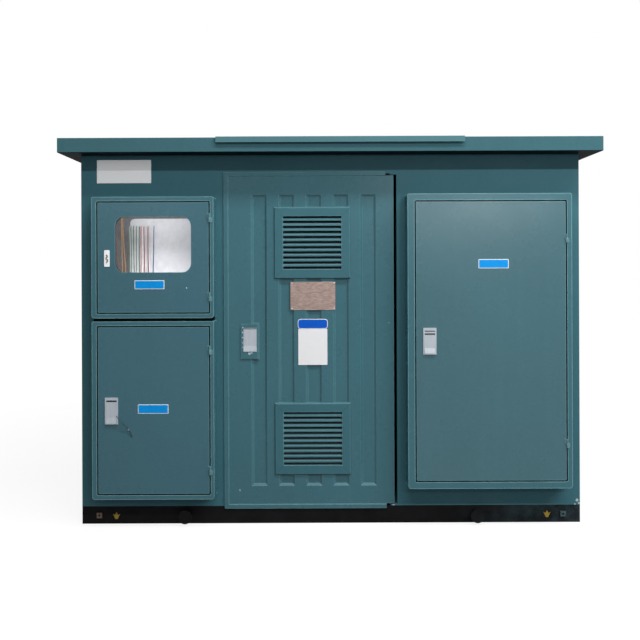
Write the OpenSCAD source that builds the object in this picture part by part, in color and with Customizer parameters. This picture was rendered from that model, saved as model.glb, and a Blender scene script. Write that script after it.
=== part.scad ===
// Compact transformer substation: a sheet-steel enclosure on a channel-steel base, with a
// meter cabinet over a communication cabinet, a fluted transformer door with two louvres,
// and an automation cabinet. Millimetres, X to the right, front towards -Y, Z up.
// The origin is on the ground, at the middle of the base.

/* [Enclosure] */
// Depth of the body from front to rear
body_d = 2100; // [1600:10:2800]
// Height of the walls above the base
wall_h = 2188; // [2160:2:2600]
// Thickness of the double-skinned wall panels
wall_t = 50; // [30:1:80]

/* [Base] */
// Height of the base channels
base_h = 109; // [90:1:160]
// Flange width of the base channels
channel_flange = 48; // [30:1:80]
// Steel thickness of the base channels
channel_t = 6; // [4:0.5:10]
// Thickness of the floor plate
floor_t = 4; // [3:0.5:8]
// Distance of each lifting trunnion from the end of the base
trunnion_inset = 650; // [300:10:900]
// Diameter of a lifting trunnion's end disc
trunnion_disc_d = 84; // [60:1:90]
// Diameter of a lifting trunnion's shaft
trunnion_shaft_d = 54; // [40:1:58]
// How far a lifting trunnion stands out of the base
trunnion_out = 60; // [40:1:90]
// Distance of each earth boss from the end of the base
earth_inset = 108; // [60:1:200]
// Side of an earth boss's square pad
earth_pad = 34; // [26:1:50]
// Diameter of the earth boss's bolt hole
earth_hole_d = 13; // [8:0.5:17]

/* [Roof] */
// Overhang of the roof at the two ends
roof_over_x = 105; // [60:1:150]
// Overhang of the roof at the front and rear
roof_over_y = 130; // [115:1:180]
// Height of the roof's fascia
fascia_h = 88; // [60:1:140]
// Rise of the ridge over the fascia's top edge
ridge_rise = 60; // [20:1:100]
// Overlap of the centre lid past the transformer doorway on the left
lid_left_lap = 47; // [20:1:200]
// Overlap of the centre lid past the transformer doorway on the right
lid_right_lap = 397; // [200:1:500]
// Height of the lid's turned-down lip
lid_lip_h = 32; // [20:1:60]
// Air gap between the fascia and the lid's lip
lid_gap = 12; // [6:1:15]
// Sheet thickness of the lid
lid_t = 3; // [2:0.5:5]

/* [Front layout] */
// Width of the corner post left of the left-hand cabinets
left_post_w = 96; // [60:1:140]
// Outer width of the meter and communication cabinet frames
left_frame_w = 744; // [600:1:900]
// Wall between the left-hand cabinets and the transformer doorway
left_mullion_w = 65; // [50:1:120]
// Width of the transformer doorway
doorway_w = 1064; // [1000:2:1200]
// Wall between the transformer doorway and the automation cabinet
right_mullion_w = 52; // [40:1:120]
// Outer width of the automation cabinet frame
right_frame_w = 1001; // [800:1:1200]
// Width of the corner post right of the automation cabinet
right_post_w = 82; // [60:1:140]
// Height of the wall under the communication cabinet
left_sill_h = 76; // [50:1:120]
// Outer height of the communication cabinet frame
communication_h = 1085; // [900:1:1100]
// Height of the dark slot between the two left-hand frames
left_rail_h = 19; // [12:1:40]
// Outer height of the meter cabinet frame
meter_h = 740; // [650:1:760]
// Height of the wall under the automation cabinet
right_sill_h = 135; // [80:1:180]
// Outer height of the automation cabinet frame
automation_h = 1798; // [1500:1:1840]
// Height of the transformer doorway above the base
doorway_h = 2071; // [1900:1:2080]

/* [Cabinet frames and leaves] */
// How far the cabinet frames stand out of the wall
frame_out = 110; // [95:1:114]
// Outer corner radius at the top of the cabinet frames
frame_r = 9; // [4:1:14]
// Outer corner radius at the bottom of the cabinet frames
frame_low_r = 18; // [14:1:30]
// Border of the left-hand frames on the lock side
left_border_lock = 30; // [24:1:50]
// Border of the left-hand frames on the hinge side
left_border_hinge = 22; // [20:1:40]
// Border of the left-hand frames at the top and bottom
left_border_v = 27; // [20:1:40]
// Border of the automation frame on the lock side
right_border_lock = 43; // [24:1:60]
// Border of the automation frame on the hinge side
right_border_hinge = 30; // [20:1:50]
// Border of the automation frame at the top and bottom
right_border_v = 41; // [20:1:60]
// Gap between a cabinet leaf and its frame
leaf_gap = 8; // [7:0.5:10]
// Thickness of a cabinet leaf
leaf_t = 25; // [20:1:40]
// Corner radius of a cabinet leaf
leaf_r = 5; // [2:0.5:15]
// Width of the stop strip behind a cabinet leaf
stop_w = 12; // [10:1:18]
// Thickness of the stop strip
stop_t = 8; // [4:1:12]
// Clearance between a leaf and the stop strip
stop_clear = 6; // [5:0.5:8]

/* [Hinges] */
// Outer diameter of a cabinet hinge's barrel
barrel_d = 10; // [8:0.5:11]
// Height of a cabinet hinge's barrel
barrel_h = 52; // [40:1:70]
// Diameter of a cabinet hinge's pin
pin_d = 5; // [3:0.5:6]
// Radial clearance of a hinge pin
pin_clear = 0.08; // [0.05:0.01:0.1]
// Distance of a cabinet hinge's axis in front of the leaf
axis_out = 4.5; // [4.5:0.5:6]
// Distance of a cabinet hinge from the leaf's top or bottom edge
hinge_inset = 94; // [60:1:200]
// Distance of an automation hinge from the leaf's top or bottom edge
tall_hinge_inset = 226; // [100:1:300]
// Diameter of the transformer door's pivot pins
pivot_d = 8; // [6:0.5:9]

/* [Meter window] */
// Corner radius of the window
window_r = 55; // [20:1:80]
// Distance of the window from the leaf's lock-side edge
window_inset = 107; // [90:1:130]
// Distance of the window from the leaf's hinge-side edge
window_hinge_inset = 108; // [60:1:130]
// Distance of the window from the leaf's top edge
window_drop = 87; // [60:1:150]
// Distance of the window from the leaf's bottom edge
window_rise = 244; // [150:1:300]
// Thickness of the window glass
glass_t = 5; // [3:0.5:6]
// How far the glass laps behind the leaf
glass_lap = 14; // [8:1:20]

/* [Meter compartment] */
// Depth of the sheet tray behind the meter frame
tray_depth = 120; // [100:1:250]
// Sheet thickness of the tray
tray_t = 3; // [2:0.5:4]
// Margin between the mounting board and the tray on the lock side
board_left_margin = 150; // [100:1:200]
// Margin between the mounting board and the tray on the hinge side
board_right_margin = 16; // [5:1:60]
// Margin between the mounting board and the tray's floor
board_low_margin = 20; // [5:1:60]
// Margin between the mounting board and the tray's top
board_top_margin = 97; // [60:1:160]
// Thickness of the mounting board
board_t = 5; // [3:0.5:12]
// Corner radius of the mounting board
board_r = 30; // [10:1:80]
// Distance of the board from the tray's back
board_standoff = 30; // [15:1:60]
// Diameter of a meter wire
wire_d = 6; // [3:0.5:8]

/* [Transformer door] */
// How far the leaf's lip laps over the wall on the lock side
leaf_lap = 16; // [10:1:20]
// How far the lip laps over the wall at the top
top_lap = 10; // [8:1:20]
// How far the lip laps over the base
base_lap = 15; // [8:1:20]
// Clearance between the lip and the wall
leaf_standoff = 5; // [5:0.5:8]
// Thickness of the lip
lip_t = 3; // [2:0.5:5]
// Clearance of the leaf inside the doorway
leaf_clear = 6; // [5:0.5:10]
// Thickness of the leaf's panel
panel_t = 18; // [16:0.5:24]
// Height of the raised border over the panel
border_out = 5; // [2:0.5:5]
// Width of the border's sloped inner edge
border_slope = 4; // [1:0.5:6]
// Width of the raised border on the lock side
border_lock_w = 29; // [20:1:60]
// Width of the raised border at the top and bottom
border_v_w = 28; // [20:1:50]
// Number of flutes pressed into the panel
flute_count = 5; // [3:2:5]
// Distance between flutes
flute_pitch = 170; // [150:1:172]
// Width of a flute at the face
flute_w = 98; // [50:1:110]
// Depth of a flute
flute_depth = 10; // [5:0.5:12]
// Width of a flute's sloped side
flute_slope = 14; // [5:1:20]
// Distance of the flutes' ends from the leaf's top and bottom
flute_inset = 140; // [110:1:250]
// Distance of the middle flute from the leaf's middle
flute_shift = 30; // [0:1:36]
// Gap between the leaf and the hinge-side jamb angle
jamb_gap = 19; // [16:0.5:24]
// Width of the jamb angle on the wall's face
jamb_w = 22; // [12:1:30]
// Steel thickness of the jamb angle
jamb_t = 3; // [2:0.5:4]
// Depth of the jamb angle in the doorway
jamb_depth = 38; // [30:1:48]
// Width of the leaf's notch at each pivot bracket
notch_w = 50; // [45:1:70]
// Thickness of each pivot bracket
bracket_h = 8; // [6:1:10]

/* [Louvres] */
// Outer width of a louvre's frame
louvre_w = 479; // [400:1:490]
// Outer height of a louvre's frame
louvre_h = 450; // [380:1:460]
// Width of a louvre frame's border at the sides
louvre_border_x = 56; // [30:1:60]
// Width of a louvre frame's border at the top and bottom
louvre_border_z = 59; // [40:1:70]
// How far a louvre frame stands out of the panel
louvre_out = 9; // [6:1:14]
// Number of blades in a louvre
blade_count = 10; // [6:1:12]
// Distance of the louvres' middle from the leaf's middle
louvre_shift = 22; // [0:1:36]
// Height of a blade's upright front lip
blade_lip = 7; // [4:0.5:10]
// Steel thickness of a blade
blade_t = 3; // [2:0.5:4]
// How far each blade rises behind the one above it
blade_overlap = 3; // [1:0.5:6]
// Width of the mitre seams at a louvre frame's corners
mitre_w = 1.2; // [0.6:0.2:2]
// Distance of the upper louvre's middle below the leaf's top
upper_louvre_drop = 442; // [400:1:500]
// Height of the lower louvre's middle above the leaf's bottom
lower_louvre_rise = 434; // [400:1:500]

/* [Locks] */
// Width of a cabinet lock's bezel
lock_w = 80; // [70:1:90]
// Height of a cabinet lock's bezel
lock_h = 163; // [140:1:200]
// Distance of a cabinet lock from the leaf's free edge
lock_inset = 42; // [30:1:60]
// Thickness of a lock's bezel
bezel_t = 5; // [2:0.5:6]
// Width of a cabinet lock's flap
flap_w = 63; // [50:1:66]
// How far a lock's flap stands over its bezel
flap_out = 1.5; // [0.5:0.5:4]
// Height of the flap's lip, which slopes outwards
lip_h = 36; // [20:1:50]
// How far the flap's lip stands over the flap
lip_out = 4; // [2:0.5:8]
// Distance of the finger pocket from the bezel's top
pocket_drop = 17; // [8:1:24]
// Height of the communication lock's finger pocket
communication_pocket_h = 10; // [6:1:20]
// Height of the automation lock's finger pocket, which has a ledge in it
automation_pocket_h = 27; // [24:1:34]
// Depth of a finger pocket behind the leaf's face
pocket_depth = 14; // [8:1:20]
// Depth of a cabinet lock's body behind the leaf's face
lock_body_depth = 40; // [30:1:60]
// Width of the raised surround of the transformer door's lock
surround_w = 106; // [96:1:120]
// Height of the surround
surround_h = 214; // [190:1:230]
// Height of the surround over the panel
surround_t = 7; // [3:0.5:9]
// Width of the transformer lock's flap
tall_flap_w = 83; // [70:1:86]
// Height of the transformer lock's flap
tall_flap_h = 139; // [110:1:150]
// Distance of the meter lock from the leaf's free edge
meter_lock_x = 57; // [40:1:60]
// Height of the meter lock's middle above the leaf's bottom
meter_lock_z = 330; // [100:1:500]
// Height of the communication lock's middle above the leaf's bottom
communication_lock_z = 506; // [300:1:700]
// Height of the automation lock's middle above the leaf's bottom
automation_lock_z = 850; // [600:1:1100]
// Height of the transformer lock's middle above the leaf's bottom
transformer_lock_z = 1042; // [700:1:1300]
// Distance of the transformer lock's middle from the leaf's free edge
transformer_lock_x = 158; // [140:1:180]

/* [Hidden] */
$fn = 48;

paint = [0.27, 0.43, 0.47];
paint_dark = [0.16, 0.27, 0.30];
steel = [0.70, 0.72, 0.74];
channel_black = [0.09, 0.09, 0.10];
board_white = [0.87, 0.88, 0.88];
// Overrun of a cutter past the face it opens
over = 1;

// Body planes
body_w = left_post_w + left_frame_w + left_mullion_w + doorway_w + right_mullion_w
    + right_frame_w + right_post_w;
half_w = body_w / 2;
half_d = body_d / 2;
front_y = -half_d;
inner_y = front_y + wall_t;
wall_top = base_h + wall_h;
cabinet_y = front_y - frame_out;

// Front layout, from left to right
left_frame_x = -half_w + left_post_w;
left_mullion_x = left_frame_x + left_frame_w;
doorway_x = left_mullion_x + left_mullion_w;
right_mullion_x = doorway_x + doorway_w;
right_frame_x = right_mullion_x + right_mullion_w;
right_post_x = right_frame_x + right_frame_w;

// Front layout, from the base up
communication_z = base_h + left_sill_h;
rail_z = communication_z + communication_h;
meter_z = rail_z + left_rail_h;
left_header_z = meter_z + meter_h;
automation_z = base_h + right_sill_h;
right_header_z = automation_z + automation_h;
doorway_top = base_h + doorway_h;

// Cabinet leaves: [left, bottom, width, height], and hinge axes
left_leaf_w = left_frame_w - left_border_lock - left_border_hinge - 2 * leaf_gap;
right_leaf_w = right_frame_w - right_border_lock - right_border_hinge - 2 * leaf_gap;
left_leaf_x = left_frame_x + left_border_lock + leaf_gap;
right_leaf_x = right_frame_x + right_border_lock + leaf_gap;
left_leaf_z = left_border_v + leaf_gap;
right_leaf_z = right_border_v + leaf_gap;
meter_leaf = [left_leaf_x, meter_z + left_leaf_z, left_leaf_w, meter_h - 2 * left_leaf_z];
communication_leaf = [left_leaf_x, communication_z + left_leaf_z, left_leaf_w,
    communication_h - 2 * left_leaf_z];
automation_leaf = [right_leaf_x, automation_z + right_leaf_z, right_leaf_w,
    automation_h - 2 * right_leaf_z];
hinge_y = cabinet_y - axis_out;
leaf_back_y = cabinet_y + leaf_t;
barrel_seam = 0.5;
hinge_tab_w = 14;
hinge_tab_t = 3;
hinge_tab_set = 1;

// Transformer door leaf: its panel sits in the doorway, and a lip laps over the wall
door_x0 = doorway_x - leaf_lap;
door_x1 = right_mullion_x - jamb_t - jamb_gap;
door_z0 = base_h - base_lap;
door_z1 = doorway_top + top_lap;
lip_back_y = front_y - leaf_standoff;
border_y = lip_back_y - lip_t;
panel_y = border_y + border_out;
door_back_y = panel_y + panel_t;
door_body_x0 = doorway_x + leaf_clear;
door_body_z0 = base_h + leaf_clear;
door_body_z1 = doorway_top - leaf_clear;
notch_top_z = doorway_top - bracket_h - leaf_clear;
notch_low_z = base_h + bracket_h + leaf_clear;
pivot_x = door_x1 - 9;
pivot_y = (panel_y + door_back_y) / 2;
pivot_depth = 34;
door_mid_x = (door_x0 + door_x1) / 2;
flute_x = door_mid_x + flute_shift;
louvre_x = door_mid_x + louvre_shift;

// Transformer door's lock and its surround
lock_lap = 6;
surround_x = door_x0 + transformer_lock_x;
surround_z = door_z0 + transformer_lock_z;
tall_pocket_h = 11;
tall_lock_shift = 4;
tall_lock_x0 = surround_x + tall_lock_shift - tall_flap_w / 2;
tall_lock_x1 = surround_x + tall_lock_shift + tall_flap_w / 2;
tall_lock_z0 = surround_z + tall_lock_shift - tall_flap_h / 2;
tall_lock_z1 = tall_lock_z0 + tall_flap_h + tall_pocket_h;

// Louvre openings
louvre_open_w = louvre_w - 2 * louvre_border_x;
louvre_open_h = louvre_h - 2 * louvre_border_z;
louvre_slope = 8;
upper_louvre_z = door_z1 - upper_louvre_drop;
lower_louvre_z = door_z0 + lower_louvre_rise;
blade_pitch = louvre_open_h / (blade_count + 0.5);
blade_start = 0.6;
blade_run = 20;
blade_drop = blade_pitch + blade_overlap;

// Rear panel, a fixed repeat of the transformer door's pressing
rear_y = half_d;
rear_panel_t = 12;

// End wall flutes
end_flute_pitch = 230;
end_flute_count = 7;
end_flute_inset = 160;

// Roof
roof_half_x = half_w + roof_over_x;
roof_half_y = half_d + roof_over_y;
fascia_top = wall_top + fascia_h;
lid_half_y = roof_half_y + lid_gap + lid_t;
lid_x0 = doorway_x - lid_left_lap;
lid_x1 = right_mullion_x + lid_right_lap;

// Meter compartment
window_w = meter_leaf[2] - window_inset - window_hinge_inset;
window_h = meter_leaf[3] - window_drop - window_rise;
window_x = meter_leaf[0] + window_inset;
window_z = meter_leaf[1] + window_rise;
glass_y = cabinet_y + 6;
glass_fit = 0.3;
tray_x0 = left_frame_x + left_border_lock - 8;
tray_x1 = left_frame_x + left_frame_w - left_border_hinge + 8;
tray_z0 = meter_z + left_border_v - 8;
tray_z1 = meter_z + meter_h - left_border_v + 8;
tray_back_y = inner_y + tray_depth;
board_w = tray_x1 - tray_x0 - 2 * tray_t - board_left_margin - board_right_margin;
board_h = tray_z1 - tray_z0 - 2 * tray_t - board_low_margin - board_top_margin;
board_x = tray_x0 + tray_t + board_left_margin;
board_z = tray_z0 + tray_t + board_low_margin;
board_y = tray_back_y - tray_t - board_standoff - board_t;
wire_top_z = board_z + board_h - 50;
wire_y = board_y - wire_d;
wire_xs = [14, 27, 42, 59, 73, 84, 95, 106, 116, 131, 155];
loose_wire_xs = [-91, -58, -44];

// A box between two corners
module span(x0, x1, y0, y1, z0, z1) {
    translate([x0, y0, z0])
        cube([x1 - x0, y1 - y0, z1 - z0]);
}

// A flat outline in the X-Z plane, thickened from y0 to y1
module upright(y0, y1) {
    translate([0, y1, 0])
        rotate([90, 0, 0])
            linear_extrude(y1 - y0)
                children();
}

// A Y-Z section drawn from x0 to x1
module along_x(x0, x1) {
    translate([x0, 0, 0])
        rotate([90, 0, 90])
            linear_extrude(x1 - x0)
                children();
}

// A rectangle with rounded corners and its lower left corner at the origin
module round_rect(w, h, r) {
    translate([r, 0])
        square([w - 2 * r, h]);
    translate([0, r])
        square([w, h - 2 * r]);
    for (x = [r, w - r], y = [r, h - r])
        translate([x, y])
            circle(r);
}

// A shallow block with four sloped sides, from a base outline at y_base to a face at y_face
module bevelled_block(x0, x1, z0, z1, y_base, y_face, slope) {
    intersection() {
        translate([0, 0, z0])
            linear_extrude(z1 - z0)
                polygon([[x0, y_base], [x1, y_base], [x1 - slope, y_face], [x0 + slope, y_face]]);
        along_x(x0, x1)
            polygon([[y_base, z0], [y_base, z1], [y_face, z1 - slope], [y_face, z0 + slope]]);
    }
}

// A row of flutes to be cut into a face at y_face, going to y_face + depth
module flutes(x_mid, pitch, count, z0, z1, y_face, depth) {
    for (i = [0 : count - 1]) {
        x = x_mid + (i - (count - 1) / 2) * pitch;
        // The cutter starts outside the face, so its outline grows by the same slope
        grow = flute_slope * over / abs(depth);
        out = depth > 0 ? -over : over;
        bevelled_block(x - flute_w / 2 - grow, x + flute_w / 2 + grow, z0 - grow, z1 + grow,
            y_face + out, y_face + depth, flute_slope + grow);
    }
}

// One rolled channel along X, its web towards -Y at y = 0 and its feet at z = 0
module channel_profile() {
    difference() {
        square([channel_flange, base_h]);
        translate([channel_t, channel_t])
            square([channel_flange, base_h - 2 * channel_t]);
    }
}

module base_front_channel() {
    color(channel_black)
        translate([0, front_y, 0])
            along_x(-half_w, half_w)
                channel_profile();
}

module base_rear_channel() {
    color(channel_black)
        mirror([0, 1, 0])
            translate([0, front_y, 0])
                along_x(-half_w, half_w)
                    channel_profile();
}

module base_left_channel() {
    color(channel_black)
        translate([-half_w, -half_d + channel_flange, 0])
            rotate([0, 0, -90])
                mirror([1, 0, 0])
                    along_x(0, body_d - 2 * channel_flange)
                        channel_profile();
}

module base_right_channel() {
    color(channel_black)
        mirror([1, 0, 0])
            base_left_channel();
}

// Cross members under the two walls that flank the transformer doorway
module base_cross_members() {
    color(channel_black)
        for (x = [(left_mullion_x + doorway_x) / 2, (right_mullion_x + right_frame_x) / 2])
            span(x - channel_flange / 2, x + channel_flange / 2,
                -half_d + channel_flange, half_d - channel_flange, channel_t, base_h);
}

module floor_plate() {
    color(paint_dark)
        span(-half_w + wall_t, half_w - wall_t, inner_y, half_d - wall_t,
            base_h, base_h + floor_t);
}

module trunnion() {
    disc_t = 8;
    rotate([90, 0, 0]) {
        cylinder(h = trunnion_out, d = trunnion_shaft_d);
        translate([0, 0, trunnion_out - disc_t])
            cylinder(h = disc_t, d = trunnion_disc_d);
    }
}

module lifting_trunnions() {
    ground_clear = 16;
    z = ground_clear + trunnion_disc_d / 2;
    color(channel_black)
        for (x = [trunnion_inset - half_w, half_w - trunnion_inset]) {
            translate([x, front_y, z])
                trunnion();
            translate([x, half_d, z])
                mirror([0, 1, 0])
                    trunnion();
        }
}

module earth_bosses() {
    pad_t = 10;
    color("peru")
        for (x = [earth_inset - half_w, half_w - earth_inset])
            difference() {
                span(x - earth_pad / 2, x + earth_pad / 2, front_y - pad_t, front_y,
                    base_h / 2 - earth_pad / 2, base_h / 2 + earth_pad / 2);
                translate([x, front_y, base_h / 2])
                    rotate([90, 0, 0])
                        cylinder(h = pad_t + over, d = earth_hole_d);
            }
}

// A front wall panel between two X and two Z values
module wall_panel(x0, x1, z0, z1) {
    color(paint)
        span(x0, x1, front_y, inner_y, z0, z1);
}

module front_left_post() {
    wall_panel(-half_w, left_frame_x, base_h, wall_top);
}

module front_left_mullion() {
    wall_panel(left_mullion_x, doorway_x, base_h, wall_top);
}

module front_right_mullion() {
    wall_panel(right_mullion_x, right_frame_x, base_h, wall_top);
}

module front_right_post() {
    wall_panel(right_post_x, half_w, base_h, wall_top);
}

module front_left_header() {
    wall_panel(left_frame_x, left_mullion_x, left_header_z, wall_top);
}

module front_centre_header() {
    wall_panel(doorway_x, right_mullion_x, doorway_top, wall_top);
}

module front_right_header() {
    wall_panel(right_frame_x, right_post_x, right_header_z, wall_top);
}

module front_left_rail() {
    wall_panel(left_frame_x, left_mullion_x, rail_z, meter_z);
}

module front_left_sill() {
    wall_panel(left_frame_x, left_mullion_x, base_h, communication_z);
}

module front_right_sill() {
    wall_panel(right_frame_x, right_post_x, base_h, automation_z);
}

// An end wall with pressed vertical flutes; drawn facing -Y and turned to its side
module end_wall_panel() {
    length = body_d - 2 * wall_t;
    difference() {
        span(-length / 2, length / 2, 0, wall_t, base_h, wall_top);
        flutes(0, end_flute_pitch, end_flute_count, base_h + end_flute_inset,
            wall_top - end_flute_inset, 0, flute_depth);
    }
}

module left_end_wall() {
    color(paint)
        translate([-half_w, 0, 0])
            rotate([0, 0, -90])
                end_wall_panel();
}

module right_end_wall() {
    color(paint)
        translate([half_w, 0, 0])
            rotate([0, 0, 90])
                end_wall_panel();
}

module rear_wall() {
    color(paint)
        difference() {
            span(-half_w, half_w, half_d - wall_t, half_d, base_h, wall_top);
            for (z = [upper_louvre_z, lower_louvre_z])
                span(-louvre_open_w / 2, louvre_open_w / 2, half_d - wall_t - over,
                    half_d + over, z - louvre_open_h / 2, z + louvre_open_h / 2);
        }
}

// The rear pressing repeats the transformer door's flutes and louvres, fixed to the wall
module rear_panel() {
    x1 = (door_x1 - door_x0) / 2;
    color(paint)
        difference() {
            span(-x1, x1, rear_y, rear_y + rear_panel_t, base_h + base_lap, door_z1);
            difference() {
                mirror([0, 1, 0])
                    flutes(0, flute_pitch, flute_count, door_z0 + flute_inset,
                        door_z1 - flute_inset, -rear_y - rear_panel_t, flute_depth - 2);
                for (z = [upper_louvre_z, lower_louvre_z])
                    span(-louvre_w / 2, louvre_w / 2, rear_y - over,
                        rear_y + rear_panel_t + 2 * over, z - louvre_h / 2, z + louvre_h / 2);
            }
            for (z = [upper_louvre_z, lower_louvre_z])
                span(-louvre_open_w / 2, louvre_open_w / 2, rear_y - over,
                    rear_y + rear_panel_t + over, z - louvre_open_h / 2,
                    z + louvre_open_h / 2);
        }
}

// Cross-section of one louvre blade in the Y-Z plane: an upright lip and a slanted sheet
module blade_section(y, z) {
    slope = (blade_drop - blade_lip) / blade_run;
    sheet_h = blade_t / cos(atan(slope));
    y0 = y - blade_t / 2;
    y1 = y + blade_t / 2;
    y2 = y + blade_run;
    lip_z = z + blade_lip;
    end_z = lip_z + (y2 - y1) * slope;
    polygon([[y0, z], [y1, z], [y1, lip_z], [y2, end_z], [y2, end_z + sheet_h],
        [y0, lip_z - blade_t * slope + sheet_h]]);
}

// Seams across the mitred corners of a louvre's frame
module mitre_seams(x, z, y_face) {
    seam_depth = 0.8;
    angle = atan2(louvre_border_z, louvre_border_x);
    reach = norm([louvre_border_x, louvre_border_z]);
    for (side_x = [-1, 1], side_z = [-1, 1])
        translate([x + side_x * louvre_open_w / 2, y_face - louvre_out, z + side_z * louvre_open_h / 2])
            mirror([side_x > 0 ? 0 : 1, 0, 0])
                mirror([0, 0, side_z > 0 ? 0 : 1])
                    rotate([0, -angle, 0])
                        span(-over, reach - louvre_slope, -over, seam_depth,
                            -mitre_w / 2, mitre_w / 2);
}

// A louvre on a face at y_face: a raised frame with sloped edges, and slanted blades inside
module louvre(x, z, y_face) {
    color(paint)
        union() {
            difference() {
                bevelled_block(x - louvre_w / 2, x + louvre_w / 2, z - louvre_h / 2,
                    z + louvre_h / 2, y_face, y_face - louvre_out, louvre_slope);
                span(x - louvre_open_w / 2, x + louvre_open_w / 2, y_face - louvre_out - over,
                    y_face + over, z - louvre_open_h / 2, z + louvre_open_h / 2);
                mitre_seams(x, z, y_face);
            }
            intersection() {
                span(x - louvre_open_w / 2 - over, x + louvre_open_w / 2 + over,
                    y_face - louvre_out + 1, y_face + panel_t,
                    z - louvre_open_h / 2, z + louvre_open_h / 2);
                union() {
                    // The lowest blade's foot is hidden behind the frame's lower border
                    along_x(x - louvre_open_w / 2, x + louvre_open_w / 2)
                        for (i = [-1 : blade_count - 1])
                            blade_section(y_face - louvre_out + 4,
                                z - louvre_open_h / 2 + (i + blade_start) * blade_pitch);
                    // Side cheeks that carry the blades' ends
                    for (side = [-1, 1])
                        span(x + side * louvre_open_w / 2 - (side > 0 ? 2 : 0),
                            x + side * louvre_open_w / 2 + (side > 0 ? 0 : 2),
                            y_face - louvre_out + 1, y_face + panel_t,
                            z - louvre_open_h / 2, z + louvre_open_h / 2);
                }
            }
        }
}

module rear_louvre(z) {
    mirror([0, 1, 0])
        louvre(0, z, -rear_y - rear_panel_t);
}

module rear_upper_louvre() {
    rear_louvre(upper_louvre_z);
}

module rear_lower_louvre() {
    rear_louvre(lower_louvre_z);
}

module roof_canopy() {
    color(paint)
        along_x(-roof_half_x, roof_half_x)
            polygon([[-roof_half_y, wall_top], [roof_half_y, wall_top],
                [roof_half_y, fascia_top], [0, fascia_top + ridge_rise],
                [-roof_half_y, fascia_top]]);
}

module roof_lid() {
    lip_z = fascia_top - lid_lip_h;
    inner = roof_half_y + lid_gap;
    color(paint)
        along_x(lid_x0, lid_x1)
            polygon([[-lid_half_y, lip_z], [-inner, lip_z], [-inner, fascia_top],
                [-roof_half_y, fascia_top], [0, fascia_top + ridge_rise],
                [roof_half_y, fascia_top], [inner, fascia_top], [inner, lip_z],
                [lid_half_y, lip_z], [lid_half_y, fascia_top + lid_t],
                [0, fascia_top + ridge_rise + lid_t], [-lid_half_y, fascia_top + lid_t]]);
}

// Half of a cabinet hinge at the axis (x, hinge_y): side is 1 on the frame, -1 on the leaf
module hinge_half(x, z, side) {
    z0 = side > 0 ? z - barrel_h / 2 : z + barrel_seam;
    translate([x, hinge_y, z0])
        cylinder(h = barrel_h / 2 - barrel_seam, d = barrel_d);
    translate([x - (side > 0 ? 0 : hinge_tab_w), cabinet_y - hinge_tab_t, z0])
        cube([hinge_tab_w, hinge_tab_t + hinge_tab_set, barrel_h / 2 - barrel_seam]);
}

module hinge_pin(x, z) {
    translate([x, hinge_y, z - barrel_seam - over])
        cylinder(h = barrel_h / 2 + over, d = pin_d);
}

module hinge_bore(x, z) {
    translate([x, hinge_y, z])
        cylinder(h = barrel_h / 2 + over, d = pin_d + 2 * pin_clear);
}

function hinge_x(leaf) = leaf[0] + leaf[2] + leaf_gap / 2;
function hinge_zs(leaf, inset) = [leaf[1] + inset, leaf[1] + leaf[3] - inset];

// A cabinet frame: a rounded sleeve through the wall, with a stop strip behind its leaf
module cabinet_frame(x, z, w, h, leaf, inset) {
    open_x = leaf[0] - leaf_gap;
    open_z = leaf[1] - leaf_gap;
    open_w = leaf[2] + 2 * leaf_gap;
    open_h = leaf[3] + 2 * leaf_gap;
    stop_y = leaf_back_y + stop_clear;
    color(paint) {
        difference() {
            union() {
                upright(cabinet_y, front_y)
                    translate([x, z])
                        intersection() {
                            round_rect(w, h, frame_r);
                            round_rect(w, h + 2 * frame_low_r, frame_low_r);
                        }
                span(x, x + w, front_y - over, inner_y, z, z + h);
            }
            upright(cabinet_y - over, stop_y)
                translate([open_x, open_z])
                    round_rect(open_w, open_h, leaf_r + leaf_gap / 2);
            span(open_x + stop_w, open_x + open_w - stop_w, stop_y - over, inner_y + over,
                open_z + stop_w, open_z + open_h - stop_w);
            span(open_x, open_x + open_w, stop_y + stop_t, inner_y + over,
                open_z, open_z + open_h);
        }
        for (hz = hinge_zs(leaf, inset)) {
            hinge_half(hinge_x(leaf), hz, 1);
            hinge_pin(hinge_x(leaf), hz);
        }
    }
}

module meter_frame() {
    cabinet_frame(left_frame_x, meter_z, left_frame_w, meter_h, meter_leaf, hinge_inset);
}

module communication_frame() {
    cabinet_frame(left_frame_x, communication_z, left_frame_w, communication_h,
        communication_leaf, hinge_inset + 47);
}

module automation_frame() {
    cabinet_frame(right_frame_x, automation_z, right_frame_w, automation_h,
        automation_leaf, tall_hinge_inset);
}

// A cabinet leaf with its halves of the hinges; the children are cut out of it
module cabinet_leaf(leaf, inset) {
    color(paint)
        difference() {
            union() {
                upright(cabinet_y, leaf_back_y)
                    translate([leaf[0], leaf[1]])
                        round_rect(leaf[2], leaf[3], leaf_r);
                for (hz = hinge_zs(leaf, inset))
                    hinge_half(hinge_x(leaf), hz, -1);
            }
            for (hz = hinge_zs(leaf, inset))
                hinge_bore(hinge_x(leaf), hz);
            children();
        }
}

// The cut-out for a cabinet lock's body, by its middle
module lock_cutout(x, z) {
    span(x - lock_w / 2 + lock_lap, x + lock_w / 2 - lock_lap, cabinet_y - over,
        leaf_back_y + over, z - lock_h / 2 + lock_lap, z + lock_h / 2 - lock_lap);
}

// A lock's flap in front of y_face; its lower end slopes outwards into a lip
module paddle_flap(x, w, z0, z1, y_face) {
    lip_edge = 7;
    y_flap = y_face - flap_out;
    y_lip = y_flap - lip_out;
    along_x(x - w / 2, x + w / 2)
        polygon([[y_face + over, z0], [y_lip, z0], [y_lip, z0 + lip_edge], [y_flap, z0 + lip_h],
            [y_flap, z1], [y_face + over, z1]]);
}

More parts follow.
